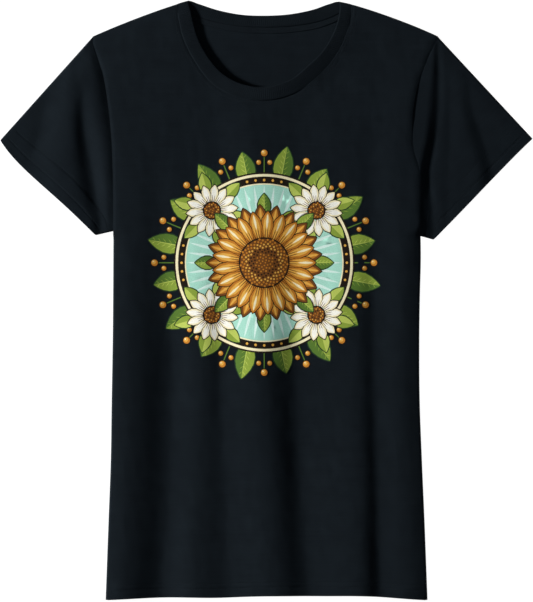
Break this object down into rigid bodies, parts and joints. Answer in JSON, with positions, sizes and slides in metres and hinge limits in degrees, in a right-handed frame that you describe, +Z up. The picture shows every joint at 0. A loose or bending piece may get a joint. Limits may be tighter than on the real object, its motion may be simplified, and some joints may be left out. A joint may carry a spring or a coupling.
{
  "type": "short-sleeved t-shirt",
  "caption": "Fitted crew-neck T-shirt of black cotton jersey with short set-in sleeves, a ribbed neckband and a printed chest medallion, laid out on its back.",
  "frame": {"origin": "under the middle of the laid-out shirt, on the surface it lies on", "axes": "+Y from the hem to the neck, +X towards the wearer's left sleeve, +Z up from the surface"},
  "size_m": [0.5748, 0.6499, 0.017],
  "materials": {
    "jersey": "matt",
    "rib": "matt",
    "tape": "matt"
  },
  "bodies": {
    "root": {"front_panel": "jersey", "back_panel": "jersey", "right_sleeve": "jersey", "left_sleeve": "jersey", "neckband": "rib", "neck_tape": "tape"}
  },
  "joints": []
}
